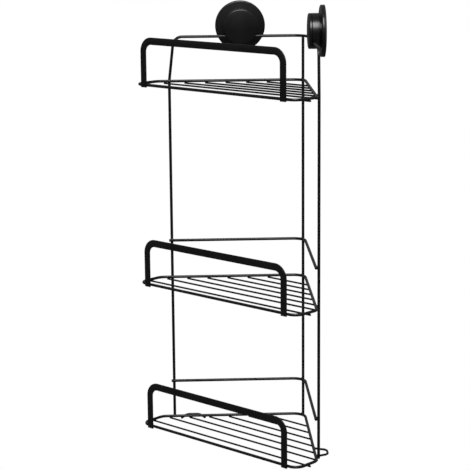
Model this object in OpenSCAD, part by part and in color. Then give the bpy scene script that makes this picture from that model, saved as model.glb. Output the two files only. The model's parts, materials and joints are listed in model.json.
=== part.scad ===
// Corner shower caddy: three wire shelves on a bent wire frame, held to two
// walls by twist-lock suction cups that ride on the frame's top rail.
// +Z is up, -Y faces the bather, and the room corner is behind the caddy on +Y.
// Each wall runs at 45 degrees to X, so "along" is a distance measured outward
// along a wall from the shelf corner, and "off" is measured into the room.

/* [Shelves] */
// Width of a shelf between its side wires
shelf_width = 293.4; // [220:0.2:360]
// Length of a shelf's short sides, between the wall edges and the front wire
side_length = 41.3; // [24:0.1:90]
// Bend radius at the back corner of a shelf
back_bend = 17.5; // [12:0.5:22]
// Bend radius where a shelf's wall edge turns into its side
side_bend = 15; // [6:0.5:18]
// Bend radius at the two front corners of a shelf
front_bend = 14; // [6:0.5:14]
// Height of the middle shelf above the bottom shelf
middle_rise = 208.6; // [140:0.2:280]
// Height of the top shelf above the middle shelf
top_rise = 281.5; // [180:0.5:320]

/* [Wires] */
// Diameter of the frame, rim and back rail wire
frame_wire = 4; // [3:0.1:5]
// Diameter of the shelf cross wires
cross_wire = 2.5; // [1.8:0.1:3.2]
// Gap from the front wire to the first cross wire, and on to the second
front_pitch = 25; // [20:0.5:28]
// Distance from the virtual shelf corner to the last cross wire
last_cross = 36; // [26:0.5:50]
// How far a cross wire reaches past the rim wire's centre
cross_overhang = 2.8; // [1:0.1:5]
// How deep one welded wire sinks into the next
weld_sink = 0.15; // [0.05:0.05:0.2]

/* [Frame] */
// Distance from the outer end of a shelf's wall edge back to the side upright
upright_inset = 17.5; // [10:0.5:30]
// Height of the top rail above the top shelf
hanging_rise = 61.4; // [50:0.2:100]
// How much nearer the corner an upright's top is than its foot
top_inset = 7; // [0:0.5:10]
// Bend radius between an upright and the top rail
top_bend = 13; // [8:0.5:20]
// Bend radius of the slight kink at the top shelf
kink_bend = 60; // [30:5:80]
// How far the uprights reach below the bottom rim wire's centre
foot_drop = 3; // [1:0.5:4]

/* [Guard rails] */
// Width of the flat strip
strip_width = 10; // [6:0.5:14]
// Thickness of the flat strip
strip_thick = 2; // [1.2:0.1:3]
// Distance from a shelf's side to the centre of the guard's post
guard_inset = 19.7; // [19:0.1:50]
// Height of the strip's centre above its shelf
guard_rise = 61; // [40:1:80]
// Outer bend radius of a guard's top corners
guard_bend = 20; // [15:1:30]

/* [Back rails] */
// Height of a back rail above its shelf
back_rail_rise = 53.5; // [30:0.5:80]
// How far a back rail passes the upright's centre
back_rail_overhang = 4; // [2.5:0.5:8]

/* [Wall spacers] */
// Diameter of the spacer loop wire
spacer_wire = 3; // [2.5:0.1:4]
// Distance along the wall from the side upright to a spacer's middle
spacer_inset = 27; // [22:0.5:60]
// Width of a spacer where it is welded on
spacer_base = 34; // [26:1:36]
// Width of a spacer at the wall
spacer_tip = 18; // [14:1:20]
// Bend radius of a spacer's two tip corners
spacer_bend = 8; // [4:0.5:9]

/* [Suction cups] */
// Distance from the wall to the top rail's centre
wall_gap = 16; // [13.3:0.1:18]
// Distance along the wall from the shelf corner to a cup's centre
cup_reach = 89.5; // [60:0.5:130]
// Plastic left between the rail's channel and the bore for the knob's boss
channel_wall = 2.1; // [1.6:0.1:3.4]
// Diameter of the suction pad
pad_d = 70; // [60:1:80]
// Thickness of the suction pad
pad_thick = 2.5; // [2:0.1:3]
// Thickness of the housing's pressure flange
flange_thick = 3.5; // [3.2:0.1:4]
// Rounding of the flange's front edge
flange_edge = 1.6; // [0.6:0.1:1.7]
// Diameter of the housing and the knob
knob_d = 48; // [44:0.5:54]
// Thickness of the knob's rim
knob_thick = 5; // [4:0.1:8]
// Rounding of the knob's front edge
knob_edge = 1.6; // [0.8:0.1:2.5]
// Diameter of the stud
stud_d = 6; // [5:0.5:7]
// Running clearance of the stud, on the radius
stud_clearance = 0.05; // [0.02:0.01:0.1]
// Free gap between parts that move past each other
free_gap = 0.3; // [0.2:0.05:0.35]
// How far the pad's centre is pulled off the wall
pad_pull = 2.7; // [2.4:0.1:3]

/* [Hidden] */
$fn = 64;

root2 = sqrt(2);
black_paint = [0.07, 0.07, 0.07];
black_plastic = [0.10, 0.10, 0.10];
black_rubber = [0.16, 0.16, 0.16];
steel = [0.70, 0.70, 0.72];
brass = [0.80, 0.65, 0.30];

// Uprights stand outside the rims, and sink into them at the welds.
upright_off = frame_wire - weld_sink;
side_x = shelf_width / 2;
shelf_depth = side_x + side_length;
upright_reach = side_x * root2 - upright_inset;

// The lowest point of the caddy is the underside of the spacer loops.
bottom_z = spacer_wire + frame_wire / 2 - weld_sink;
middle_z = bottom_z + middle_rise;
top_z = middle_z + top_rise;
rail_z = top_z + hanging_rise;
foot_z = bottom_z - foot_drop;

// Distances back and forward from the virtual shelf corner, along Y.
corner_inset = back_bend * (root2 - 1) - upright_off;
front_reach = shelf_depth + frame_wire / 2 + strip_thick - weld_sink;
back_inset = corner_inset - frame_wire / 2;
corner_y = (front_reach + back_inset) / 2;

// The top rail's corner bend passes right over the corner upright.
rail_corner_bend = (upright_off * root2 + corner_inset) / (root2 - 1);

// Stations on a cup's axis, measured out from the wall.
neck_length = 1.6;
flange_front = pad_thick + flange_thick;
body_back = flange_front + neck_length;
body_front = wall_gap + frame_wire / 2;
knob_back = body_front + free_gap;
knob_front = knob_back + knob_thick;
core_thick = 2.5;
head_back = pad_pull + core_thick;
head_thick = 1.8;
head_room = 2;
cavity_top = head_back + head_thick + head_room;
web = 1.8;
boss_back = cavity_top + web + free_gap;
seat_gap = 0.4;
insert_back = boss_back + seat_gap;
knob_skin = 1.8;
insert_front = knob_front - knob_skin;
stud_front = insert_front - seat_gap;

// Radii about a cup's axis. The rail's channel runs just below the boss.
core_r = 13.4;
core_gap = 0.6;
cavity_r = core_r + 2;
neck_r = knob_d / 2 - 3;
head_r = 8;
insert_r = stud_d / 2 + 2.5;
boss_r = insert_r + 3.5;
channel = frame_wire / 2 + free_gap;
cup_lift = boss_r + free_gap + channel_wall + channel;
cup_z = rail_z + cup_lift;

function unit(v) = v / norm(v);

// A place beside a wall: side 1 is the right wall, side -1 the left wall.
function spot(side, along, off, z) =
    [side * (along - off) / root2, corner_y - (along + off) / root2, z];

// Rotation that takes local X and Z to the given unit vectors.
function angles(x, z) =
    let (y = cross(z, x)) [atan2(y[2], z[2]), asin(-x[2]), atan2(x[1], x[0])];

// Half the width of a rim at a depth behind the front of the shelf corner.
function rim_half(depth) = min(depth, side_x);

// Depth of a cross wire, counted from the front. The first two keep the front
// pitch, and the others share what is left equally.
function cross_depth(i) =
    let (second = shelf_depth - 2 * front_pitch)
    i < 3 ? shelf_depth - i * front_pitch : second - (i - 2) * (second - last_cross) / 5;

// A straight round wire from a to b.
module rod(a, b, d) {
    run = b - a;
    translate(a)
        rotate([0, acos(run[2] / norm(run)), atan2(run[1], run[0])])
            cylinder(d = d, h = norm(run));
}

// A round wire along points, bent at each inner point with its own radius.
// A collar a hair wider than the wire joins each straight run to its bend.
module bent_wire(points, radii, d, closed = false) {
    n = len(points);
    join_gap = 0.05;
    collar = 0.4;
    collar_d = d + 0.04;
    corner = [for (i = [0 : n - 1]) let (
        p = points[i],
        a = unit(p - points[(i + n - 1) % n]),
        b = unit(points[(i + 1) % n] - p),
        bent = closed || (i > 0 && i < n - 1),
        turn = bent ? acos(a * b) : 0
    ) [p, a, b, turn, radii[i] * tan(turn / 2)]];
    for (i = [0 : closed ? n - 1 : n - 2]) {
        from = corner[i];
        to = corner[(i + 1) % n];
        start_cut = from[4] > 0 ? from[4] + join_gap : 0;
        end_cut = to[4] > 0 ? to[4] + join_gap : 0;
        rod(from[0] + from[2] * start_cut, to[0] - from[2] * end_cut, d);
    }
    for (i = [0 : n - 1]) if (corner[i][3] > 0) {
        c = corner[i];
        inward = unit(c[2] - c[1] * (c[1] * c[2]));
        translate(c[0] - c[1] * c[4] + inward * radii[i])
            rotate(angles(-inward, cross(-inward, c[1])))
                rotate_extrude(angle = c[3])
                    translate([radii[i], 0]) circle(d = d);
        rod(c[0] - c[1] * (c[4] + collar / 2), c[0] - c[1] * (c[4] - collar / 2), collar_d);
        rod(c[0] + c[2] * (c[4] - collar / 2), c[0] + c[2] * (c[4] + collar / 2), collar_d);
    }
}

// Puts a cup part, drawn along +Z from the wall, in its place.
module at_cup(side) {
    translate(spot(side, cup_reach, -upright_off - wall_gap, cup_z))
        rotate([90, 0, -45 * side]) children();
}

// One bent wire: left upright, top rail round the corner, right upright.
module hanging_frame_wire() {
    off = -upright_off;
    top = upright_reach - top_inset;
    color(black_paint) bent_wire([
        spot(-1, upright_reach, off, foot_z),
        spot(-1, upright_reach, off, top_z),
        spot(-1, top, off, rail_z),
        spot(1, off, off, rail_z),
        spot(1, top, off, rail_z),
        spot(1, upright_reach, off, top_z),
        spot(1, upright_reach, off, foot_z)
    ], [0, kink_bend, top_bend, rail_corner_bend, top_bend, kink_bend, 0], frame_wire);
}

module corner_upright() {
    head_z = rail_z - frame_wire / 2 + 2 * weld_sink;
    color(black_paint)
        translate([0, corner_y - corner_inset, foot_z])
            cylinder(d = frame_wire, h = head_z - foot_z);
}

// Closed rim wire of a shelf: two wall edges, two short sides and a front.
module shelf_rim(z) {
    color(black_paint) bent_wire([
        [0, corner_y, z],
        [side_x, corner_y - side_x, z],
        [side_x, corner_y - shelf_depth, z],
        [-side_x, corner_y - shelf_depth, z],
        [-side_x, corner_y - side_x, z]
    ], [back_bend, side_bend, front_bend, front_bend, side_bend], frame_wire, true);
}

// Cross wire i of a shelf, welded under the rim and parallel to the front.
module shelf_wire(i, z) {
    depth = cross_depth(i);
    half = rim_half(depth) + cross_overhang;
    drop = (frame_wire + cross_wire) / 2 - weld_sink;
    color(black_paint)
        translate([-half, corner_y - depth, z - drop])
            rotate([0, 90, 0]) cylinder(d = cross_wire, h = 2 * half);
}

// Outline of a guard: a flat strip bent into an arch, with its feet at 0.
module guard_outline(rise) {
    outer = side_x - guard_inset + strip_width / 2;
    inner = outer - strip_width;
    top = rise + strip_width / 2;
    translate([guard_bend - outer, top - strip_width])
        square([2 * (outer - guard_bend), strip_width]);
    for (side = [-1, 1]) {
        translate([side > 0 ? inner : -outer, 0]) square([strip_width, top - guard_bend]);
        translate([side * (outer - guard_bend), top - guard_bend])
            intersection() {
                difference() {
                    circle(r = guard_bend);
                    circle(r = guard_bend - strip_width);
                }
                translate([side > 0 ? 0 : -guard_bend, 0]) square(guard_bend);
            }
    }
}

// Flat guard rail, welded to the outside of a shelf's front wire.
module guard_rail(z) {
    back_y = corner_y - shelf_depth - frame_wire / 2 + weld_sink;
    color(black_paint)
        translate([0, back_y, z - foot_drop])
            rotate([90, 0, 0])
                linear_extrude(strip_thick) guard_outline(guard_rise + foot_drop);
}

// Wire rail above a shelf, along both walls and round the corner upright.
module back_rail(z) {
    reach = upright_reach + back_rail_overhang;
    color(black_paint) bent_wire([
        spot(-1, reach, 0, z),
        [0, corner_y, z],
        spot(1, reach, 0, z)
    ], [0, back_bend, 0], frame_wire);
}

// Loop of wire under the bottom rim that stands the caddy off the wall.
module wall_spacer(side) {
    z = spacer_wire / 2;
    tip_off = spacer_wire / 2 - upright_off - wall_gap;
    spacer_reach = upright_reach - spacer_inset;
    color(black_paint) bent_wire([
        spot(side, spacer_reach - spacer_base / 2, 0, z),
        spot(side, spacer_reach - spacer_tip / 2, tip_off, z),
        spot(side, spacer_reach + spacer_tip / 2, tip_off, z),
        spot(side, spacer_reach + spacer_base / 2, 0, z)
    ], [0, spacer_bend, spacer_bend, 0], spacer_wire);
}

// Disc with a rounded front edge, drawn from its back at 0.
module round_disc(r, thick, edge) {
    rotate_extrude() {
        square([r - edge, thick]);
        square([r, thick - edge]);
        translate([r - edge, thick - edge]) circle(r = edge);
    }
}

// Housing: pressure flange, neck, and a body with a channel for the rail.
module cup_housing(side) {
    color(black_plastic) at_cup(side) difference() {
        union() {
            translate([0, 0, pad_thick]) round_disc(pad_d / 2, flange_thick, flange_edge);
            translate([0, 0, pad_thick]) cylinder(r = neck_r, h = body_back - pad_thick + 1);
            translate([0, 0, body_back]) cylinder(d = knob_d, h = body_front - body_back);
        }
        translate([0, 0, -1]) cylinder(r = cavity_r, h = cavity_top + 1);
        cylinder(r = stud_d / 2 + free_gap, h = body_front);
        translate([0, 0, boss_back - free_gap])
            cylinder(r = boss_r + free_gap, h = body_front - boss_back + 1);
        translate([-knob_d / 2 - 1, -cup_lift - channel, wall_gap - channel])
            cube([knob_d + 2, 2 * channel, frame_wire + free_gap + 1]);
    }
}

// Soft pad whose rim seals on the wall, open at its middle for the core.
module suction_pad(side) {
    color(black_rubber) at_cup(side) difference() {
        cylinder(d = pad_d, h = pad_thick);
        translate([0, 0, -1]) cylinder(r = core_r + core_gap, h = pad_thick + 2);
    }
}

// Middle of the pad, which the stud pulls off the wall.
module pad_core(side) {
    color(black_rubber) at_cup(side)
        translate([0, 0, pad_pull]) cylinder(r = core_r, h = core_thick);
}

module stud(side) {
    color(steel) at_cup(side) {
        translate([0, 0, head_back]) cylinder(r = head_r, h = head_thick);
        translate([0, 0, head_back + 1]) cylinder(d = stud_d, h = stud_front - head_back - 1);
    }
}

// Hexagonal threaded insert pressed into the knob.
module nut_insert(side) {
    color(brass) at_cup(side) difference() {
        translate([0, 0, insert_back])
            cylinder(r = insert_r, h = insert_front - insert_back, $fn = 6);
        translate([0, 0, insert_back - 1])
            cylinder(r = stud_d / 2 + stud_clearance, h = insert_front - insert_back + 2);
    }
}

// Knob: a round cap that covers the rail channel, on a boss for the insert.
module knob(side) {
    dome_r = 220;
    color(black_plastic) at_cup(side) difference() {
        union() {
            intersection() {
                translate([0, 0, knob_back]) round_disc(knob_d / 2, knob_thick, knob_edge);
                translate([0, 0, knob_front - dome_r]) sphere(r = dome_r, $fn = 200);
            }
            translate([0, 0, boss_back]) cylinder(r = boss_r, h = knob_back - boss_back + 1);
        }
        translate([0, 0, boss_back - 1])
            cylinder(r = insert_r, h = insert_front - boss_back + 1, $fn = 6);
    }
}

hanging_frame_wire();
corner_upright();
shelf_rim(top_z);  // top_shelf_rim
shelf_rim(middle_z);  // middle_shelf_rim
shelf_rim(bottom_z);  // bottom_shelf_rim
for (i = [1 : 7]) {
    shelf_wire(i, top_z);
    shelf_wire(i, middle_z);
    shelf_wire(i, bottom_z);
}
guard_rail(top_z);  // top_guard_rail
guard_rail(middle_z);  // middle_guard_rail
guard_rail(bottom_z);  // bottom_guard_rail
back_rail(middle_z + back_rail_rise);  // middle_back_rail
back_rail(bottom_z + back_rail_rise);  // bottom_back_rail
wall_spacer(-1);  // left_wall_spacer
wall_spacer(1);  // right_wall_spacer
cup_housing(-1);  // left_cup_housing
suction_pad(-1);  // left_suction_pad
pad_core(-1);  // left_pad_core
stud(-1);  // left_stud
nut_insert(-1);  // left_nut_insert
knob(-1);  // left_knob
cup_housing(1);  // right_cup_housing
suction_pad(1);  // right_suction_pad
pad_core(1);  // right_pad_core
stud(1);  // right_stud
nut_insert(1);  // right_nut_insert
knob(1);  // right_knob
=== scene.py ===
"""Corner shower caddy: three coated wire shelves with flat guard rails on a bent
wire frame, two wall spacers at its foot and two twist-lock suction cups.

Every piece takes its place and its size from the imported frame, in metres, with +Z
up and the room corner behind the caddy on +Y. "Along" is a distance outward along
a wall from the virtual shelf corner, and "off" is a distance into the room.
"""

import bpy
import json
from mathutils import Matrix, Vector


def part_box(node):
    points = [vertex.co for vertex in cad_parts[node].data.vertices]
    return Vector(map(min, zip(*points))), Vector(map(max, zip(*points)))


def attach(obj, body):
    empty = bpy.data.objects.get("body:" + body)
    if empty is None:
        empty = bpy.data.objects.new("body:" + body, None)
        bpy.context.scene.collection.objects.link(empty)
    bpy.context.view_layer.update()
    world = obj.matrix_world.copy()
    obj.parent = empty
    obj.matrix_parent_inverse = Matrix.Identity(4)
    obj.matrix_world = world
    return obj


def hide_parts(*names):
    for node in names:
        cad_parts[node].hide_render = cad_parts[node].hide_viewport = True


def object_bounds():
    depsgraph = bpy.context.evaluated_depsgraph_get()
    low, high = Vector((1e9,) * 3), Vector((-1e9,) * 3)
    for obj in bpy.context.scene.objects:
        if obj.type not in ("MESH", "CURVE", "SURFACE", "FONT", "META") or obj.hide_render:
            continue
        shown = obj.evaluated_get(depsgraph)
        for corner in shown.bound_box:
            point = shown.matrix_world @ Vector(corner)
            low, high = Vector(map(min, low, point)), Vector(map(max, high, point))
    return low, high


bl_info = {
    "name": "Corner Shower Caddy",
    "version": (1, 0, 0),
    "blender": (4, 5, 0),
    "location": "View3D > Sidebar > Caddy",
    "description": "Coated wire corner caddy with guard rails and twist-lock suction cups",
    "category": "Add Mesh",
}

import json
from math import cos, pi, radians, sin, sqrt, tan

import bmesh
import bpy
from mathutils import Matrix, Quaternion, Vector

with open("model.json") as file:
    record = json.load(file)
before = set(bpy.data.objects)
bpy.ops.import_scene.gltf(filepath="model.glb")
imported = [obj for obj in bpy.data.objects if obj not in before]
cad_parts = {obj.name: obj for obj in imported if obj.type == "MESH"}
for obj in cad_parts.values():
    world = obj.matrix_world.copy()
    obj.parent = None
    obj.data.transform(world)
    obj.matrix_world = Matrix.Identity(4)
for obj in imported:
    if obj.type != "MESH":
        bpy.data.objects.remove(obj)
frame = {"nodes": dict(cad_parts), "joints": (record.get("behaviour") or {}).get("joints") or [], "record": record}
CAD_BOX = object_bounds()

MM = 0.001
ROOT2 = sqrt(2)
TIERS = ("top", "middle", "bottom")
SIDES = {"left": -1, "right": 1}
CROSS_WIRES = range(1, 8)
BODY_OF = {
    node: body
    for body, members in frame["record"]["behaviour"]["bodies"].items()
    for node in members
}
JOINTS = {joint["name"]: joint for joint in frame["joints"]}
BOXES = {node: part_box(node) for node in frame["nodes"]}


# ---------------------------------------------------------------- sizes and colours


class CaddyWire(bpy.types.PropertyGroup):
    """Bends, cut ends and welds of the round wires."""

    back_bend: bpy.props.FloatProperty(
        name="Back bend", description="Centre line radius at the back corner of a shelf",
        default=17.5 * MM, unit="LENGTH")
    side_bend: bpy.props.FloatProperty(
        name="Side bend", description="Centre line radius where a wall edge meets a short side",
        default=15 * MM, unit="LENGTH")
    front_bend: bpy.props.FloatProperty(
        name="Front bend", description="Centre line radius at the two front corners",
        default=14 * MM, unit="LENGTH")
    top_bend: bpy.props.FloatProperty(
        name="Top bend", description="Centre line radius between an upright and the top rail",
        default=13 * MM, unit="LENGTH")
    kink_bend: bpy.props.FloatProperty(
        name="Kink bend", description="Centre line radius of the kink at the top shelf",
        default=60 * MM, unit="LENGTH")
    top_inset: bpy.props.FloatProperty(
        name="Top inset", description="How much nearer the corner an upright's top is",
        default=7 * MM, unit="LENGTH")
    spacer_base: bpy.props.FloatProperty(
        name="Spacer base", description="Width of a wall spacer where it is welded on",
        default=34 * MM, unit="LENGTH")
    spacer_tip: bpy.props.FloatProperty(
        name="Spacer tip", description="Width of a wall spacer at the wall",
        default=18 * MM, unit="LENGTH")
    spacer_bend: bpy.props.FloatProperty(
        name="Spacer bend", description="Centre line radius of a spacer's two tip corners",
        default=8 * MM, unit="LENGTH")
    cut_rounding: bpy.props.FloatProperty(
        name="Cut rounding", description="Rounding of a wire's cut end under its coat",
        default=0.5 * MM, unit="LENGTH")
    weld_reach: bpy.props.FloatProperty(
        name="Weld reach", description="How far a weld's bead shows beyond the thinner wire",
        default=0.75 * MM, unit="LENGTH")


class CaddyStrip(bpy.types.PropertyGroup):
    """Section and bends of the flat guard rails."""

    width: bpy.props.FloatProperty(
        name="Width", description="Width of the flat strip", default=10 * MM, unit="LENGTH")
    bend: bpy.props.FloatProperty(
        name="Bend", description="Outer radius of a guard rail's two top corners",
        default=20 * MM, unit="LENGTH")
    edge: bpy.props.FloatProperty(
        name="Edge", description="Rounding of the strip's rolled edges",
        default=0.55 * MM, unit="LENGTH")


class CaddyCup(bpy.types.PropertyGroup):
    """Shape of the suction cups' moulded and metal pieces."""

    flange: bpy.props.FloatProperty(
        name="Flange", description="Thickness of the housing's pressure flange",
        default=3.5 * MM, unit="LENGTH")
    neck_length: bpy.props.FloatProperty(
        name="Neck length", description="Gap between the flange and the body",
        default=1.6 * MM, unit="LENGTH")
    neck_inset: bpy.props.FloatProperty(
        name="Neck inset", description="How much smaller in radius the neck is than the body",
        default=3 * MM, unit="LENGTH")
    moulded_edge: bpy.props.FloatProperty(
        name="Moulded edge", description="Rounding of the housing's small edges",
        default=0.5 * MM, unit="LENGTH")
    flange_edge: bpy.props.FloatProperty(
        name="Flange edge", description="Rounding of the flange's front edge",
        default=1.6 * MM, unit="LENGTH")
    cap_thickness: bpy.props.FloatProperty(
        name="Cap thickness", description="Thickness of the knob's cap",
        default=5 * MM, unit="LENGTH")
    cap_edge: bpy.props.FloatProperty(
        name="Cap edge", description="Rounding of the cap's front edge",
        default=1.5 * MM, unit="LENGTH")
    dome: bpy.props.FloatProperty(
        name="Dome", description="Radius of the cap's domed face",
        default=220 * MM, unit="LENGTH")
    boss_radius: bpy.props.FloatProperty(
        name="Boss radius", description="Radius of the knob's boss round the insert",
        default=9 * MM, unit="LENGTH")
    gap: bpy.props.FloatProperty(
        name="Free gap", description="Gap between pieces that move past each other",
        default=0.3 * MM, unit="LENGTH")
    cavity_clearance: bpy.props.FloatProperty(
        name="Cavity clearance", description="Room round the pad's core in the housing",
        default=2 * MM, unit="LENGTH")
    web: bpy.props.FloatProperty(
        name="Web", description="Thickness of the wall that the stud passes through",
        default=1.8 * MM, unit="LENGTH")
    lip: bpy.props.FloatProperty(
        name="Lip", description="Width of the pad's sealing lip", default=2.2 * MM, unit="LENGTH")
    lip_height: bpy.props.FloatProperty(
        name="Lip height", description="How far the lip stands over the pad's back",
        default=0.35 * MM, unit="LENGTH")
    head_height: bpy.props.FloatProperty(
        name="Head height", description="Thickness of the stud's flat head",
        default=1.8 * MM, unit="LENGTH")
    stud_radius: bpy.props.FloatProperty(
        name="Stud radius", description="Radius over the stud's thread",
        default=3 * MM, unit="LENGTH")
    thread_pitch: bpy.props.FloatProperty(
        name="Thread pitch", description="Rise of the thread in one turn",
        default=1.5 * MM, unit="LENGTH")
    thread_depth: bpy.props.FloatProperty(
        name="Thread depth", description="Depth of the thread", default=0.5 * MM, unit="LENGTH")
    ring_places: bpy.props.FloatVectorProperty(
        name="Ring places", description="Places of a pad's seal rings, as shares from hole to rim",
        size=2, default=(0.42, 0.68))
    core_hollow: bpy.props.FloatProperty(
        name="Core hollow", description="Depth of the hollow in a pad core's back",
        default=0.6 * MM, unit="LENGTH")
    stud_plain: bpy.props.FloatProperty(
        name="Plain stud", description="Length of the stud that is left without a thread",
        default=2 * MM, unit="LENGTH")
    insert_edge: bpy.props.FloatProperty(
        name="Insert edge", description="Rounding of an insert's edges",
        default=0.25 * MM, unit="LENGTH")
    insert_clearance: bpy.props.FloatProperty(
        name="Insert clearance", description="Gap between a stud and its insert, on the radius",
        default=0.05 * MM, unit="LENGTH")


class CaddyFinish(bpy.types.PropertyGroup):
    """Colours of the finishes."""

    coat: bpy.props.FloatVectorProperty(
        name="Coat", description="Black powder coat on the wires", subtype="COLOR",
        size=4, min=0, max=1, default=(0.004, 0.004, 0.0044, 1))
    coat_thin: bpy.props.FloatVectorProperty(
        name="Thin coat", description="The coat where it is thinner or pooled",
        subtype="COLOR", size=4, min=0, max=1, default=(0.006, 0.006, 0.0066, 1))
    weld: bpy.props.FloatVectorProperty(
        name="Weld", description="The coat over a weld and a cut end", subtype="COLOR",
        size=4, min=0, max=1, default=(0.009, 0.009, 0.0096, 1))
    plastic: bpy.props.FloatVectorProperty(
        name="Plastic", description="Moulded plastic of the cups", subtype="COLOR",
        size=4, min=0, max=1, default=(0.002, 0.002, 0.0021, 1))
    plastic_flow: bpy.props.FloatVectorProperty(
        name="Plastic flow", description="The plastic's faint flow marks", subtype="COLOR",
        size=4, min=0, max=1, default=(0.0032, 0.0032, 0.0034, 1))
    rubber: bpy.props.FloatVectorProperty(
        name="Rubber", description="Soft rubber of the pads", subtype="COLOR",
        size=4, min=0, max=1, default=(0.006, 0.006, 0.0063, 1))
    rubber_bloom: bpy.props.FloatVectorProperty(
        name="Rubber bloom", description="The rubber's greyer patches", subtype="COLOR",
        size=4, min=0, max=1, default=(0.011, 0.011, 0.0114, 1))
    steel: bpy.props.FloatVectorProperty(
        name="Steel", description="Plated steel of the studs", subtype="COLOR",
        size=4, min=0, max=1, default=(0.56, 0.57, 0.58, 1))
    brass: bpy.props.FloatVectorProperty(
        name="Brass", description="Machined brass of the inserts", subtype="COLOR",
        size=4, min=0, max=1, default=(0.72, 0.52, 0.24, 1))


class CaddyStage(bpy.types.PropertyGroup):
    """Floor, lights and camera."""

    floor_size: bpy.props.FloatProperty(
        name="Floor size", description="Radius of the floor", default=16, unit="LENGTH")
    floor: bpy.props.FloatVectorProperty(
        name="Floor", description="The floor as the camera sees it", subtype="COLOR", size=4, min=0,
        max=1, default=(1, 1, 1, 1))
    floor_bounce: bpy.props.FloatVectorProperty(
        name="Floor bounce", description="Colour of the light that the floor throws back",
        subtype="COLOR", size=4, min=0, max=1, default=(0.07, 0.07, 0.07, 1))
    surround: bpy.props.FloatProperty(
        name="Surround", description="Strength of the soft light from all round", default=0.22)
    overhead: bpy.props.FloatProperty(
        name="Overhead", description="Strength of the broad light from above", default=2.75)
    overhead_spread: bpy.props.FloatProperty(
        name="Overhead spread", description="Angle over which the overhead light spreads",
        default=radians(70), unit="ROTATION")
    key: bpy.props.FloatProperty(
        name="Key", description="Power of the soft light above the camera", default=54,
        unit="POWER")
    key_size: bpy.props.FloatProperty(
        name="Key size", description="Side of the soft light above the camera", default=1.3,
        unit="LENGTH")
    key_height: bpy.props.FloatProperty(
        name="Key height", description="Angle of the soft light above the floor",
        default=radians(46), unit="ROTATION")
    key_distance: bpy.props.FloatProperty(
        name="Key distance", description="How far the soft light is from the caddy",
        default=2.2, unit="LENGTH")
    camera_place: bpy.props.FloatVectorProperty(
        name="Camera place", description="Where the camera stands", subtype="TRANSLATION",
        unit="LENGTH", default=(1.51238, -1.67608, 0.75641))
    camera_bearing: bpy.props.FloatProperty(
        name="Camera bearing", description="How far the view turns from +Y towards -X",
        default=radians(42.921), unit="ROTATION")
    camera_dip: bpy.props.FloatProperty(
        name="Camera dip", description="How far the view looks down",
        default=radians(11.742), unit="ROTATION")
    camera_roll: bpy.props.FloatProperty(
        name="Camera roll", description="Turn of the camera about its view",
        default=radians(-0.508), unit="ROTATION")
    camera_lens: bpy.props.FloatProperty(
        name="Camera lens", description="Focal length in millimetres on a 36 mm sensor",
        default=127.14)


# ---------------------------------------------------------------- measuring the frame


def points_of(node):
    return [vertex.co for vertex in frame["nodes"][node].data.vertices]


def middle(node):
    low, high = BOXES[node]
    return (low + high) / 2


def wire_radius():
    low, high = BOXES["corner_upright"]
    return (high.x - low.x) / 2


def shelf_corner():
    """Y of the virtual corner where a shelf's two wall edges would meet."""
    bend = bpy.context.scene.caddy_wire.back_bend
    return BOXES["bottom_shelf_rim"][1].y - wire_radius() + bend * (ROOT2 - 1)


def upright_off():
    """How far an upright's centre stands behind the shelf's wall edge."""
    bend = bpy.context.scene.caddy_wire.back_bend
    return bend * (ROOT2 - 1) - (shelf_corner() - middle("corner_upright").y)


def spot(side, along, off, height):
    """A place beside a wall: side 1 is the right wall, side -1 the left wall."""
    return Vector((side * (along - off) / ROOT2, shelf_corner() - (along + off) / ROOT2, height))


def wall_reach(node, side):
    """(lowest along, highest along, lowest off, highest off) of a node beside a wall."""
    corner = shelf_corner()
    behind = [(side * p.x, corner - p.y) for p in points_of(node)]
    along = [(x + y) / ROOT2 for x, y in behind]
    off = [(y - x) / ROOT2 for x, y in behind]
    return min(along), max(along), min(off), max(off)


def cup_axis(side):
    """(centre on the wall, direction into the room) of a cup."""
    joint = JOINTS[side + "_knob_turn"]
    return Vector(joint["pos_m"]), Vector(joint["axis"]).normalized()


def cup_matrix(side):
    """Takes a piece drawn along +Z from the wall, with +Y up, to its cup."""
    centre, inward = cup_axis(side)
    across = Vector((0, 0, 1)).cross(inward)
    turn = Matrix((across, Vector((0, 0, 1)), inward)).transposed()
    return Matrix.Translation(centre) @ turn.to_4x4()


def cup_reach(node, side):
    """(lowest station, highest station, greatest radius) of a node on its cup's axis."""
    home = cup_matrix(side).inverted()
    local = [home @ p for p in points_of(node)]
    return (min(p.z for p in local), max(p.z for p in local),
            max(Vector((p.x, p.y)).length for p in local))


# ---------------------------------------------------------------- shaping


def edges_of(geometry):
    return [g for g in geometry if isinstance(g, bmesh.types.BMEdge)]


def loop_edges(verts):
    chosen = set(verts)
    return [e for e in {e for v in verts for e in v.link_edges} if set(e.verts) <= chosen]


def facing(direction):
    return direction.to_track_quat("Z", "Y").to_matrix().to_4x4()


def round_section(bm, place, direction, radius, sides):
    ring = bmesh.ops.create_circle(
        bm, cap_ends=False, radius=radius, segments=sides,
        matrix=Matrix.Translation(place) @ facing(direction))
    return loop_edges(ring["verts"])


def draw_straight(bm, loop, move):
    """Draws a loop of edges straight out by a vector."""
    if move.length < 1e-7:
        return loop
    drawn = bmesh.ops.extrude_edge_only(bm, edges=loop)["geom"]
    verts = [g for g in drawn if isinstance(g, bmesh.types.BMVert)]
    bmesh.ops.translate(bm, verts=verts, vec=move)
    return loop_edges(verts)


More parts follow.
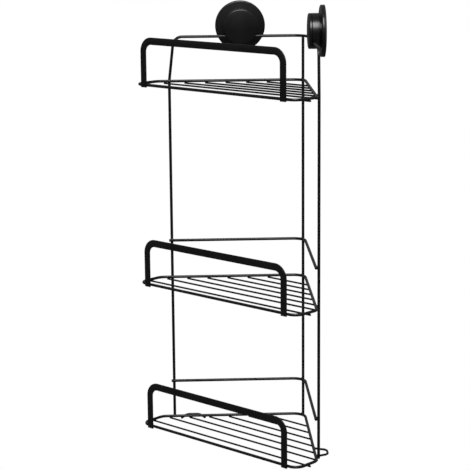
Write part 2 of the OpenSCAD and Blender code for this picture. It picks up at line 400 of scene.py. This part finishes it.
def draw_along(bm, loop, points, bends, steps=14):
    """Draws a loop of edges along points, turned at each inner point on its bend."""
    here = points[0]
    for last, corner, ahead, bend in zip(points, points[1:], points[2:], bends):
        before, after = (corner - last).normalized(), (ahead - corner).normalized()
        turn = before.angle(after)
        cut = bend * tan(turn / 2)
        loop = draw_straight(bm, loop, corner - before * cut - here)
        inward = (after - before * before.dot(after)).normalized()
        spun = bmesh.ops.spin(
            bm, geom=loop, cent=corner - before * cut + inward * bend,
            axis=before.cross(after).normalized(), angle=turn,
            steps=max(4, round(steps * turn / (pi / 2))))
        loop = edges_of(spun["geom_last"])
        here = corner + after * cut
    return draw_straight(bm, loop, points[-1] - here)


def round_sharp_edges(bm, rounding, angle, segments=3):
    """Rounds the edges whose two faces meet at more than an angle."""
    sharp = [e for e in bm.edges if len(e.link_faces) == 2 and e.calc_face_angle() > angle]
    bmesh.ops.bevel(
        bm, geom=sharp, offset=rounding, offset_type="OFFSET", segments=segments,
        profile=0.5, affect="EDGES", clamp_overlap=True, material=-1)


def open_wire(points, bends, radius, rounding, sides=24):
    """A round wire with two cut ends."""
    bm = bmesh.new()
    start = round_section(bm, points[0], points[1] - points[0], radius, sides)
    end = draw_along(bm, start, points, bends)
    bmesh.ops.edgeloop_fill(bm, edges=start)
    bmesh.ops.edgeloop_fill(bm, edges=end)
    round_sharp_edges(bm, rounding, radians(60))
    return bm


def closed_wire(corners, bends, radius, sides=24):
    """A round wire welded into a ring, drawn from the middle of its first side."""
    seam = (corners[0] + corners[-1]) / 2
    bm = bmesh.new()
    start = round_section(bm, seam, corners[0] - seam, radius, sides)
    draw_along(bm, start, [seam, *corners, seam], bends)
    bmesh.ops.remove_doubles(bm, verts=bm.verts[:], dist=0.02 * MM)
    return bm


def add_weld(bm, place, level, reach, height):
    """A small flattened bead between two crossing wires, lying across `level`."""
    marks = bm.verts.layers.float.get("weld") or bm.verts.layers.float.new("weld")
    bead = bmesh.ops.create_uvsphere(
        bm, u_segments=16, v_segments=8, radius=1,
        matrix=Matrix.Translation(place) @ facing(level)
        @ Matrix.Diagonal((reach, reach, height, 1)))
    for vert in bead["verts"]:
        vert[marks] = 1


def turned(outline, roundings=(), steps=96, segments=4):
    """A piece turned about +Z from its outline of (radius, station) points.
    roundings gives the radius for some of the outline's corners, by their index."""
    bm = bmesh.new()
    verts = [bm.verts.new((radius, 0, station)) for radius, station in outline]
    bm.faces.new(verts)
    groups = {}
    for index, rounding in dict(roundings).items():
        groups.setdefault(rounding, []).append(verts[index])
    for rounding, corners in groups.items():
        bmesh.ops.bevel(
            bm, geom=corners, offset=rounding, offset_type="OFFSET", segments=segments,
            profile=0.5, affect="VERTICES", clamp_overlap=True, material=-1)
    bmesh.ops.delete(bm, geom=bm.faces[:], context="FACES_ONLY")
    on_axis = [e for e in bm.edges if all(abs(v.co.x) < 1e-9 for v in e.verts)]
    bmesh.ops.delete(bm, geom=on_axis, context="EDGES")
    bmesh.ops.spin(
        bm, geom=bm.edges[:], cent=(0, 0, 0), axis=(0, 0, 1), angle=2 * pi, steps=steps,
        use_merge=True)
    bmesh.ops.remove_doubles(bm, verts=bm.verts[:], dist=0.002 * MM)
    bmesh.ops.recalc_face_normals(bm, faces=bm.faces[:])
    return bm


def cut_away(bm, tool):
    """The piece with the tool's shape taken out of it."""
    held = []
    for name, shape in (("cut_piece", bm), ("cut_tool", tool)):
        bmesh.ops.recalc_face_normals(shape, faces=shape.faces[:])
        mesh = bpy.data.meshes.new(name)
        shape.to_mesh(mesh)
        shape.free()
        thing = bpy.data.objects.new(name, mesh)
        bpy.context.scene.collection.objects.link(thing)
        held.append(thing)
    modifier = held[0].modifiers.new("cut", "BOOLEAN")
    modifier.operation = "DIFFERENCE"
    modifier.solver = "EXACT"
    modifier.object = held[1]
    result = bmesh.new()
    result.from_object(held[0], bpy.context.evaluated_depsgraph_get())
    for thing in held:
        mesh = thing.data
        bpy.data.objects.remove(thing)
        bpy.data.meshes.remove(mesh)
    bmesh.ops.remove_doubles(result, verts=result.verts[:], dist=0.002 * MM)
    return result


def finish_piece(bm, node, maker, finish, sharp=radians(35)):
    """Makes the piece that stands for a CAD node, and puts it on the node's body."""
    bmesh.ops.recalc_face_normals(bm, faces=bm.faces[:])
    if not bm.verts.layers.float.get("weld"):
        bm.verts.layers.float.new("weld")
    mesh = bpy.data.meshes.new(f"{node}_{maker}")
    bm.to_mesh(mesh)
    bm.free()
    if not mesh.polygons:
        raise RuntimeError(f"{node} came out empty")
    mesh.shade_smooth()
    mesh.set_sharp_from_angle(angle=sharp)
    mesh.materials.append(bpy.data.materials[finish + "_look"])
    piece = bpy.data.objects.new(mesh.name, mesh)
    bpy.context.scene.collection.objects.link(piece)
    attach(piece, BODY_OF[node])
    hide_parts(node)


def finish_on_cup(bm, side, part, maker, finish, sharp=radians(35)):
    """Takes a piece drawn along +Z to its cup, and finishes it there."""
    bmesh.ops.transform(bm, matrix=cup_matrix(side), verts=bm.verts[:])
    finish_piece(bm, f"{side}_{part}", maker, finish, sharp)


# ---------------------------------------------------------------- finishes


def add_socket(group, name, kind, way, value=None):
    socket = group.interface.new_socket(name=name, in_out=way, socket_type="NodeSocket" + kind)
    if value is not None:
        socket.default_value = value


def node_in(tree, kind, **values):
    node = tree.nodes.new("ShaderNode" + kind)
    for name, value in values.items():
        setattr(node, name, value)
    return node


def fine_surface():
    """Slow patches of tone and gloss, with a fine grain over them."""
    group = bpy.data.node_groups.new("Fine surface", "ShaderNodeTree")
    add_socket(group, "Coordinates", "Vector", "INPUT")
    add_socket(group, "Tone", "Color", "INPUT")
    add_socket(group, "Patch tone", "Color", "INPUT")
    add_socket(group, "Patches per metre", "Float", "INPUT", 30)
    add_socket(group, "Grains per metre", "Float", "INPUT", 900)
    add_socket(group, "Smoothest", "Float", "INPUT", 0.3)
    add_socket(group, "Roughest", "Float", "INPUT", 0.45)
    add_socket(group, "Colour", "Color", "OUTPUT")
    add_socket(group, "Roughness", "Float", "OUTPUT")
    add_socket(group, "Height", "Float", "OUTPUT")
    link = group.links.new
    given = group.nodes.new("NodeGroupInput")
    out = group.nodes.new("NodeGroupOutput")
    patches = node_in(group, "TexNoise")
    patches.inputs["Detail"].default_value = 4
    patches.inputs["Roughness"].default_value = 0.6
    grains = node_in(group, "TexNoise")
    grains.inputs["Detail"].default_value = 2
    link(given.outputs["Coordinates"], patches.inputs["Vector"])
    link(given.outputs["Coordinates"], grains.inputs["Vector"])
    link(given.outputs["Patches per metre"], patches.inputs["Scale"])
    link(given.outputs["Grains per metre"], grains.inputs["Scale"])
    spread = node_in(group, "MapRange")
    spread.inputs["From Min"].default_value = 0.35
    spread.inputs["From Max"].default_value = 0.65
    link(patches.outputs["Fac"], spread.inputs["Value"])
    tone = node_in(group, "Mix", data_type="RGBA")
    link(spread.outputs["Result"], tone.inputs["Factor"])
    link(given.outputs["Tone"], tone.inputs["A"])
    link(given.outputs["Patch tone"], tone.inputs["B"])
    gloss = node_in(group, "MapRange")
    link(spread.outputs["Result"], gloss.inputs["Value"])
    link(given.outputs["Smoothest"], gloss.inputs["To Min"])
    link(given.outputs["Roughest"], gloss.inputs["To Max"])
    link(tone.outputs["Result"], out.inputs["Colour"])
    link(gloss.outputs["Result"], out.inputs["Roughness"])
    link(grains.outputs["Fac"], out.inputs["Height"])


def mixed_marks():
    """Greyer and rougher where a mark is, such as over a weld or a cut end."""
    group = bpy.data.node_groups.new("Weld marks", "ShaderNodeTree")
    add_socket(group, "Colour", "Color", "INPUT")
    add_socket(group, "Roughness", "Float", "INPUT", 0.4)
    add_socket(group, "Mark", "Float", "INPUT", 0)
    add_socket(group, "Mark tone", "Color", "INPUT")
    add_socket(group, "Mark roughness", "Float", "INPUT", 0.6)
    add_socket(group, "Colour", "Color", "OUTPUT")
    add_socket(group, "Roughness", "Float", "OUTPUT")
    link = group.links.new
    given = group.nodes.new("NodeGroupInput")
    out = group.nodes.new("NodeGroupOutput")
    tone = node_in(group, "Mix", data_type="RGBA")
    link(given.outputs["Mark"], tone.inputs["Factor"])
    link(given.outputs["Colour"], tone.inputs["A"])
    link(given.outputs["Mark tone"], tone.inputs["B"])
    gloss = node_in(group, "Mix", data_type="FLOAT")
    link(given.outputs["Mark"], gloss.inputs["Factor"])
    link(given.outputs["Roughness"], gloss.inputs["A"])
    link(given.outputs["Mark roughness"], gloss.inputs["B"])
    link(tone.outputs["Result"], out.inputs["Colour"])
    link(gloss.outputs["Result"], out.inputs["Roughness"])


def mix_finish(name, tone, patch_tone, patches, grains, smoothest, roughest, bump,
               marks=None, stretch=(1, 1, 1), **shader):
    """A material from the fine surface group, with its own values."""
    material = bpy.data.materials.new(name + "_look")
    material.use_nodes = True
    tree = material.node_tree
    link = tree.links.new
    principled = tree.nodes["Principled BSDF"]
    for socket, value in shader.items():
        principled.inputs[socket.replace("_", " ")].default_value = value
    place = node_in(tree, "TexCoord")
    mapping = node_in(tree, "Mapping")
    mapping.inputs["Scale"].default_value = stretch
    link(place.outputs["Object"], mapping.inputs["Vector"])
    surface = node_in(tree, "Group", node_tree=bpy.data.node_groups["Fine surface"])
    for socket, value in (("Tone", tone), ("Patch tone", patch_tone),
                          ("Patches per metre", patches), ("Grains per metre", grains),
                          ("Smoothest", smoothest), ("Roughest", roughest)):
        surface.inputs[socket].default_value = value
    link(mapping.outputs["Vector"], surface.inputs["Coordinates"])
    last = surface
    if marks:
        last = node_in(tree, "Group", node_tree=bpy.data.node_groups["Weld marks"])
        last.inputs["Mark tone"].default_value = marks
        mark = node_in(tree, "Attribute", attribute_name="weld")
        link(mark.outputs["Fac"], last.inputs["Mark"])
        link(surface.outputs["Colour"], last.inputs["Colour"])
        link(surface.outputs["Roughness"], last.inputs["Roughness"])
    relief = node_in(tree, "Bump")
    relief.inputs["Strength"].default_value = bump
    relief.inputs["Distance"].default_value = 0.05 * MM
    link(surface.outputs["Height"], relief.inputs["Height"])
    link(last.outputs["Colour"], principled.inputs["Base Color"])
    link(last.outputs["Roughness"], principled.inputs["Roughness"])
    link(relief.outputs["Normal"], principled.inputs["Normal"])


# ---------------------------------------------------------------- operators


class CADDY_OT_finishes(bpy.types.Operator):
    """Mixes the powder coat, plastic, rubber, steel and brass"""

    bl_idname = "caddy.finishes"
    bl_label = "Mix the Finishes"

    def execute(self, context):
        colours = context.scene.caddy_finish
        fine_surface()
        mixed_marks()
        mix_finish("frame_coating", colours.coat, colours.coat_thin, patches=28, grains=1100,
                   smoothest=0.24, roughest=0.32, bump=0.03, marks=colours.weld,
                   Specular_IOR_Level=0.34)
        mix_finish("cup_plastic", colours.plastic, colours.plastic_flow, patches=22,
                   grains=3200, smoothest=0.25, roughest=0.30, bump=0.006,
                   Specular_IOR_Level=0.5)
        mix_finish("pad_rubber", colours.rubber, colours.rubber_bloom, patches=60,
                   grains=1500, smoothest=0.5, roughest=0.68, bump=0.25,
                   Specular_IOR_Level=0.35)
        mix_finish("stud_steel", colours.steel, [0.8 * c for c in colours.steel], patches=90,
                   grains=5200, smoothest=0.22, roughest=0.36, bump=0.2,
                   stretch=(1, 1, 0.1), Metallic=1)
        mix_finish("insert_brass", colours.brass, [0.8 * c for c in colours.brass],
                   patches=120, grains=4200, smoothest=0.25, roughest=0.38, bump=0.2,
                   stretch=(1, 1, 0.1), Metallic=1)
        return {"FINISHED"}


class CADDY_OT_uprights(bpy.types.Operator):
    """Bends the hanging frame wire and stands the corner upright"""

    bl_idname = "caddy.uprights"
    bl_label = "Bend the Frame Wires"

    def execute(self, context):
        wire = context.scene.caddy_wire
        radius, off = wire_radius(), -upright_off()
        low, high = BOXES["hanging_frame_wire"]
        reach = (high.x - radius) * ROOT2 + off
        shelf, rail = middle("top_shelf_rim").z, high.z - radius
        corner = spot(1, off, off, rail)
        inset = (shelf_corner() - middle("corner_upright").y - off * ROOT2) / (ROOT2 - 1)
        right = [spot(1, reach - wire.top_inset, off, rail), spot(1, reach, off, shelf),
                 spot(1, reach, off, low.z)]
        left = [Vector((-p.x, p.y, p.z)) for p in reversed(right)]
        bends = [wire.kink_bend, wire.top_bend, inset, wire.top_bend, wire.kink_bend]
        bm = open_wire(left + [corner] + right, bends, radius, wire.cut_rounding)
        for tier in TIERS:
            rim = middle(tier + "_shelf_rim").z
            for side in SIDES.values():
                touch = spot(side, reach, off / 2, rim)
                add_weld(bm, touch, touch - spot(side, reach, off, rim),
                         radius + wire.weld_reach, radius * 0.55)
        finish_piece(bm, "hanging_frame_wire", "bent", "frame_coating")

        low, high = BOXES["corner_upright"]
        centre = (low + high) / 2
        foot, head = centre.copy(), centre.copy()
        foot.z, head.z = low.z, high.z
        bm = open_wire([foot, head], [], radius, wire.cut_rounding)
        for node in ("top_shelf_rim", "middle_shelf_rim", "bottom_shelf_rim",
                     "middle_back_rail", "bottom_back_rail"):
            touch = Vector((centre.x, centre.y - radius, middle(node).z))
            add_weld(bm, touch, Vector((0, 1, 0)), radius + wire.weld_reach, radius * 0.55)
        finish_piece(bm, "corner_upright", "straight", "frame_coating")
        return {"FINISHED"}


class CADDY_OT_shelves(bpy.types.Operator):
    """Bends the three shelf rims and lays seven cross wires under each"""

    bl_idname = "caddy.shelves"
    bl_label = "Make the Shelves"

    def execute(self, context):
        wire = context.scene.caddy_wire
        radius, corner = wire_radius(), shelf_corner()
        for tier in TIERS:
            low, high = BOXES[tier + "_shelf_rim"]
            level, side, front = (low.z + high.z) / 2, high.x - radius, low.y + radius
            outline = [(0, corner), (side, corner - side), (side, front),
                       (-side, front), (-side, corner - side)]
            bends = [wire.front_bend, wire.front_bend, wire.side_bend, wire.back_bend,
                     wire.side_bend]
            corners = [Vector((x, y, level)) for x, y in outline]
            bm = closed_wire(corners[2:] + corners[:2], bends, radius)
            finish_piece(bm, tier + "_shelf_rim", "bent", "frame_coating")
            for number in CROSS_WIRES:
                node = f"{tier}_shelf_wire_{number}"
                low, high = BOXES[node]
                thin, centre = (high.z - low.z) / 2, (low + high) / 2
                ends = [Vector((x, centre.y, centre.z)) for x in (low.x, high.x)]
                bm = open_wire(ends, [], thin, 0.7 * wire.cut_rounding, sides=16)
                crossing = min(corner - centre.y, side)
                for x in (-crossing, crossing):
                    add_weld(bm, Vector((x, centre.y, high.z)), Vector((0, 0, 1)),
                             thin + wire.weld_reach, 0.6 * thin)
                finish_piece(bm, node, "straight", "frame_coating")
        return {"FINISHED"}


class CADDY_OT_guard_rails(bpy.types.Operator):
    """Bends the three flat guard rails edgewise and rounds their edges"""

    bl_idname = "caddy.guard_rails"
    bl_label = "Bend the Guard Rails"

    def execute(self, context):
        strip = context.scene.caddy_strip
        half = strip.width / 2
        for tier in TIERS:
            low, high = BOXES[tier + "_guard_rail"]
            depth, post, top = (low.y + high.y) / 2, high.x - half, high.z - half
            route = [Vector((x, depth, z)) for x, z in
                     ((-post, low.z), (-post, top), (post, top), (post, low.z))]
            bm = bmesh.new()
            section = [bm.verts.new((-post + x, y, low.z)) for x, y in
                       ((-half, low.y), (half, low.y), (half, high.y), (-half, high.y))]
            foot = bm.faces.new(section)
            end = draw_along(bm, foot.edges[:], route, [strip.bend - half] * 2, steps=20)
            bmesh.ops.edgeloop_fill(bm, edges=end)
            round_sharp_edges(bm, strip.edge, radians(60), segments=4)
            rim = middle(tier + "_shelf_rim")
            for x in (-post, post):
                add_weld(bm, Vector((x, high.y, rim.z)), Vector((0, 1, 0)), 0.62 * half,
                         0.25 * half)
            finish_piece(bm, tier + "_guard_rail", "bent", "frame_coating")
        return {"FINISHED"}


class CADDY_OT_back_rails(bpy.types.Operator):
    """Bends the back rails of the middle and bottom shelves"""

    bl_idname = "caddy.back_rails"
    bl_label = "Bend the Back Rails"

    def execute(self, context):
        wire = context.scene.caddy_wire
        radius = wire_radius()
        upright = BOXES["hanging_frame_wire"][1].x - radius
        for tier in TIERS[1:]:
            low, high = BOXES[tier + "_back_rail"]
            level, end = (low.z + high.z) / 2, high.x - radius / ROOT2
            corner = shelf_corner()
            route = [Vector((-end, corner - end, level)), Vector((0, corner, level)),
                     Vector((end, corner - end, level))]
            bm = open_wire(route, [wire.back_bend], radius, wire.cut_rounding)
            for side in SIDES.values():
                outward = Vector((side, 1, 0)) / ROOT2
                behind = Vector((side * upright, 0, level))
                behind.y = corner - upright + ROOT2 * upright_off()
                add_weld(bm, behind - outward * upright_off() / 2, outward,
                         radius + wire.weld_reach, 0.55 * radius)
            finish_piece(bm, tier + "_back_rail", "bent", "frame_coating")
        return {"FINISHED"}


class CADDY_OT_wall_spacers(bpy.types.Operator):
    """Bends the two wire loops under the bottom shelf"""

    bl_idname = "caddy.wall_spacers"
    bl_label = "Bend the Wall Spacers"

    def execute(self, context):
        wire = context.scene.caddy_wire
        for name, side in SIDES.items():
            node = name + "_wall_spacer"
            low, high = BOXES[node]
            thin, level = (high.z - low.z) / 2, (low.z + high.z) / 2
            near, far, wall, _ = wall_reach(node, side)
            centre = (near + far) / 2
            across = [(-wire.spacer_base / 2, 0), (-wire.spacer_tip / 2, wall + thin),
                      (wire.spacer_tip / 2, wall + thin), (wire.spacer_base / 2, 0)]
            route = [spot(side, centre + along, off, level) for along, off in across]
            bm = open_wire(route, [wire.spacer_bend] * 2, thin, wire.cut_rounding, sides=20)
            for along, off in (across[0], across[-1]):
                touch = spot(side, centre + along, off - wire.weld_reach, high.z)
                add_weld(bm, touch, Vector((0, 0, 1)), thin + wire.weld_reach, 0.5 * thin)
            finish_piece(bm, node, "bent", "frame_coating")
        return {"FINISHED"}


class CADDY_OT_housings(bpy.types.Operator):
    """Turns the two cup housings and cuts the rail's channel in them"""

    bl_idname = "caddy.housings"
    bl_label = "Make the Cup Housings"

    def execute(self, context):
        cup = context.scene.caddy_cup
        for name in SIDES:
            back, front, flange_r = cup_reach(name + "_cup_housing", name)
            core_r = cup_reach(name + "_pad_core", name)[2]
            boss_back, _, body_r = cup_reach(name + "_knob", name)
            flange_front = back + cup.flange
            body_back = flange_front + cup.neck_length
            neck_r = body_r - cup.neck_inset
            cavity_r = core_r + cup.cavity_clearance
            seat = boss_back - cup.gap
            cavity_top = seat - cup.web
            bore_r, boss_r = cup.stud_radius + cup.gap, cup.boss_radius + cup.gap
            small, edge = cup.moulded_edge, cup.flange_edge
            bm = turned(
                [(cavity_r, back), (flange_r, back), (flange_r, flange_front),
                 (neck_r, flange_front), (neck_r, body_back), (body_r, body_back),
                 (body_r, front), (boss_r, front), (boss_r, seat), (bore_r, seat),
                 (bore_r, cavity_top), (cavity_r, cavity_top)],
                {1: small, 2: edge, 3: 0.8 * small, 4: 0.8 * small, 5: 1.4 * small,
                 6: small, 7: small, 9: 0.4 * small, 11: 0.8 * small})
            rail = BOXES["hanging_frame_wire"][1].z - wire_radius()
            drop = cup_axis(name)[0].z - rail
            half = wire_radius() + cup.gap
            floor = front - wire_radius() - half
            tool = bmesh.new()
            bmesh.ops.create_cube(
                tool, size=1, matrix=Matrix.Translation((0, -drop, floor + half * 2))
                @ Matrix.Diagonal((3 * body_r, 2 * half, 4 * half, 1)))
            bm = cut_away(bm, tool)
            finish_on_cup(bm, name, "cup_housing", "moulded", "cup_plastic", radians(40))
        return {"FINISHED"}


class CADDY_OT_pads(bpy.types.Operator):
    """Turns the soft suction pads and their cores"""

    bl_idname = "caddy.pads"
    bl_label = "Make the Suction Pads"

    def execute(self, context):
        cup = context.scene.caddy_cup
        for name in SIDES:
            back, front, pad_r = cup_reach(name + "_suction_pad", name)
            core_back, core_front, core_r = cup_reach(name + "_pad_core", name)
            hole_r = core_r + 2 * cup.gap
            lip, step = cup.lip, back + cup.lip_height
            ridges = []
            for share in cup.ring_places:
                ring = hole_r + share * (pad_r - hole_r)
                ridges += [(ring - 0.5 * lip, step), (ring - 0.2 * lip, back + 0.1 * MM),
                           (ring + 0.2 * lip, back + 0.1 * MM), (ring + 0.5 * lip, step)]
            outline = [(hole_r, front), (hole_r, step), *ridges, (pad_r - 1.3 * lip, step),
                       (pad_r - lip, back), (pad_r, back), (pad_r, front)]
            last = len(outline) - 1
            bm = turned(outline, {0: 0.5 * MM, 1: 0.3 * MM, last - 1: 0.35 * MM,
                                  last: 0.9 * MM})
            finish_on_cup(bm, name, "suction_pad", "moulded", "pad_rubber")
            hollow = cup.core_hollow
            bm = turned(
                [(0, core_back + hollow), (0.35 * core_r, core_back + 0.8 * hollow),
                 (0.7 * core_r, core_back + 0.3 * hollow), (core_r, core_back),
                 (core_r, core_front), (0, core_front)], {3: 0.5 * MM, 4: 0.5 * MM})
            finish_on_cup(bm, name, "pad_core", "moulded", "pad_rubber")
        return {"FINISHED"}


class CADDY_OT_studs(bpy.types.Operator):
    """Turns the studs with their threads, and the hexagonal inserts"""

    bl_idname = "caddy.studs"
    bl_label = "Make the Studs and Inserts"

    def execute(self, context):
        cup = context.scene.caddy_cup
        for name in SIDES:
            back, front, head_r = cup_reach(name + "_stud", name)
            head = back + cup.head_height
            root_r = cup.stud_radius - cup.thread_depth
            plain = head + cup.stud_plain
            bm = turned(
                [(0, back), (head_r, back), (head_r, head), (cup.stud_radius, head),
                 (cup.stud_radius, plain), (root_r, plain + cup.thread_depth),
                 (root_r, front - cup.thread_depth), (root_r - cup.thread_depth, front),
                 (0, front)], {1: 0.4 * MM, 2: 0.4 * MM, 3: 0.3 * MM}, steps=64)
            pitch = cup.thread_pitch
            foot = plain - 0.2 * pitch
            sunk = root_r - 0.2 * MM
            ridge = [(sunk, foot), (cup.stud_radius, foot + 0.4 * pitch),
                     (cup.stud_radius, foot + 0.5 * pitch), (sunk, foot + 0.9 * pitch)]
            start = bm.faces.new(
                [bm.verts.new((radius, 0, station)) for radius, station in ridge])
            turns = (front - cup.thread_depth - foot - pitch) / pitch
            steps = round(32 * turns)
            spun = bmesh.ops.spin(
                bm, geom=start.edges[:], cent=(0, 0, 0), axis=(0, 0, 1),
                dvec=(0, 0, turns * pitch / steps), angle=2 * pi * turns, steps=steps)
            bmesh.ops.edgeloop_fill(bm, edges=edges_of(spun["geom_last"]))
            finish_on_cup(bm, name, "stud", "turned", "stud_steel")

            back, front, nut_r = cup_reach(name + "_nut_insert", name)
            bm = bmesh.new()
            bmesh.ops.create_cone(
                bm, cap_ends=True, segments=6, radius1=nut_r, radius2=nut_r,
                depth=front - back, matrix=Matrix.Translation((0, 0, (front + back) / 2)))
            round_sharp_edges(bm, cup.insert_edge, radians(50), segments=2)
            bore_r = cup.stud_radius + cup.insert_clearance
            bore = bmesh.new()
            bmesh.ops.create_cone(
                bore, cap_ends=True, segments=64, radius1=bore_r, radius2=bore_r,
                depth=2 * (front - back), matrix=Matrix.Translation((0, 0, (front + back) / 2)))
            bm = cut_away(bm, bore)
            finish_on_cup(bm, name, "nut_insert", "turned", "insert_brass")
        return {"FINISHED"}


class CADDY_OT_knobs(bpy.types.Operator):
    """Turns the two knobs with their domed caps and hexagonal sockets"""

    bl_idname = "caddy.knobs"
    bl_label = "Make the Knobs"

    def execute(self, context):
        cup = context.scene.caddy_cup
        for name in SIDES:
            boss_back, front, cap_r = cup_reach(name + "_knob", name)
            _, nut_front, nut_r = cup_reach(name + "_nut_insert", name)
            cap_back = front - cup.cap_thickness

            def fall(radius):
                return cup.dome - sqrt(cup.dome ** 2 - radius ** 2)

            dome = [(radius, front - fall(radius)) for radius in
                    (share * (cap_r - cup.cap_edge) for share in (0, 0.2, 0.4, 0.6, 0.8, 1))]
            bm = turned(
                dome + [(cap_r, front - fall(cap_r) - 0.1 * MM), (cap_r, cap_back),
                        (cup.boss_radius, cap_back), (cup.boss_radius, boss_back),
                        (0, boss_back)],
                {6: 0.9 * cup.cap_edge, 7: cup.moulded_edge, 8: 0.6 * cup.moulded_edge,
                 9: cup.moulded_edge}, segments=6)
            socket = bmesh.new()
            deep = nut_front - boss_back
            bmesh.ops.create_cone(
                socket, cap_ends=True, segments=6, radius1=nut_r, radius2=nut_r,
                depth=2 * deep, matrix=Matrix.Translation((0, 0, boss_back)))
            bm = cut_away(bm, socket)
            finish_on_cup(bm, name, "knob", "moulded", "cup_plastic")
        return {"FINISHED"}


class CADDY_OT_stage(bpy.types.Operator):
    """Lays the floor, hangs the soft lights and sets up the camera"""

    bl_idname = "caddy.stage"
    bl_label = "Set the Stage"

    def execute(self, context):
        stage = context.scene.caddy_stage
        bm = bmesh.new()
        bmesh.ops.create_circle(bm, cap_ends=True, radius=stage.floor_size, segments=96)
        mesh = bpy.data.meshes.new("floor")
        bm.to_mesh(mesh)
        bm.free()
        floor = bpy.data.objects.new("floor", mesh)
        context.scene.collection.objects.link(floor)
        paint = bpy.data.materials.new("pale_floor")
        paint.use_nodes = True
        tree = paint.node_tree
        principled = tree.nodes["Principled BSDF"]
        principled.inputs["Roughness"].default_value = 0.9
        principled.inputs["Specular IOR Level"].default_value = 0
        principled.inputs["Base Color"].default_value = stage.floor_bounce
        rays, glow = node_in(tree, "LightPath"), node_in(tree, "Emission")
        glow.inputs["Color"].default_value = stage.floor
        mixed = node_in(tree, "MixShader")
        tree.links.new(rays.outputs["Is Camera Ray"], mixed.inputs["Fac"])
        tree.links.new(principled.outputs["BSDF"], mixed.inputs[1])
        tree.links.new(glow.outputs["Emission"], mixed.inputs[2])
        tree.links.new(mixed.outputs["Shader"], tree.nodes["Material Output"].inputs["Surface"])
        mesh.materials.append(paint)

        world = bpy.data.worlds.new("soft_surround")
        world.use_nodes = True
        context.scene.world = world
        tree = world.node_tree
        surround = tree.nodes["Background"]
        surround.inputs["Color"].default_value = (1, 1, 1, 1)
        surround.inputs["Strength"].default_value = stage.surround
        seen = node_in(tree, "Background")
        seen.inputs["Color"].default_value = (1, 1, 1, 1)
        rays = node_in(tree, "LightPath")
        mixed = node_in(tree, "MixShader")
        tree.links.new(rays.outputs["Is Camera Ray"], mixed.inputs["Fac"])
        tree.links.new(surround.outputs["Background"], mixed.inputs[1])
        tree.links.new(seen.outputs["Background"], mixed.inputs[2])
        tree.links.new(mixed.outputs["Shader"], tree.nodes["World Output"].inputs["Surface"])

        overhead = bpy.data.lights.new("overhead_light", "SUN")
        overhead.energy, overhead.angle = stage.overhead, stage.overhead_spread
        # Only the key light makes highlights, so the tops of the cups stay dark.
        sky = bpy.data.objects.new("overhead_light", overhead)
        sky.visible_glossy = False
        context.scene.collection.objects.link(sky)

        top = CAD_BOX[1].z
        key = bpy.data.lights.new("key_light", "AREA")
        key.size, key.energy = stage.key_size, stage.key
        towards = Vector((sin(stage.camera_bearing) * cos(stage.key_height),
                          -cos(stage.camera_bearing) * cos(stage.key_height),
                          sin(stage.key_height)))
        light = bpy.data.objects.new("key_light", key)
        light.location = Vector((0, 0, 0.8 * top)) + towards * stage.key_distance
        light.rotation_euler = (-towards).to_track_quat("-Z", "Y").to_euler()
        context.scene.collection.objects.link(light)
        context.scene.view_settings.view_transform = "Standard"

        view = Vector((-sin(stage.camera_bearing) * cos(stage.camera_dip),
                       cos(stage.camera_bearing) * cos(stage.camera_dip),
                       -sin(stage.camera_dip)))
        lens = bpy.data.cameras.new("camera")
        lens.lens, lens.sensor_width = stage.camera_lens, 36
        lens.clip_end = 100
        camera = bpy.data.objects.new("camera", lens)
        camera.location = stage.camera_place
        camera.rotation_euler = (
            view.to_track_quat("-Z", "Y")
            @ Quaternion((0, 0, 1), stage.camera_roll)).to_euler()
        context.scene.collection.objects.link(camera)
        context.scene.camera = camera
        return {"FINISHED"}


class CADDY_PT_sizes(bpy.types.Panel):
    """The caddy's sizes, colours and steps"""

    bl_idname = "CADDY_PT_sizes"
    bl_label = "Corner Caddy"
    bl_space_type = "VIEW_3D"
    bl_region_type = "UI"
    bl_category = "Caddy"

    def draw(self, context):
        for name in GROUPS:
            box = self.layout.box()
            group = getattr(context.scene, name)
            for key in group.bl_rna.properties.keys():
                if key not in ("rna_type", "name"):
                    box.prop(group, key)
        for step in STEPS:
            self.layout.operator(step.bl_idname)


GROUPS = {"caddy_wire": CaddyWire, "caddy_strip": CaddyStrip, "caddy_cup": CaddyCup,
          "caddy_finish": CaddyFinish, "caddy_stage": CaddyStage}
STEPS = (CADDY_OT_finishes, CADDY_OT_uprights, CADDY_OT_shelves, CADDY_OT_guard_rails,
         CADDY_OT_back_rails, CADDY_OT_wall_spacers, CADDY_OT_housings, CADDY_OT_pads,
         CADDY_OT_studs, CADDY_OT_knobs, CADDY_OT_stage)


def register():
    for group in (*GROUPS.values(), *STEPS, CADDY_PT_sizes):
        bpy.utils.register_class(group)
    for name, group in GROUPS.items():
        setattr(bpy.types.Scene, name, bpy.props.PointerProperty(type=group))


def unregister():
    for name in GROUPS:
        delattr(bpy.types.Scene, name)
    for group in (CADDY_PT_sizes, *reversed(STEPS), *reversed(GROUPS.values())):
        bpy.utils.unregister_class(group)


def main():
    register()
    for step in STEPS:
        area, name = step.bl_idname.split(".")
        getattr(getattr(bpy.ops, area), name)()


if __name__ == "__main__":
    main()
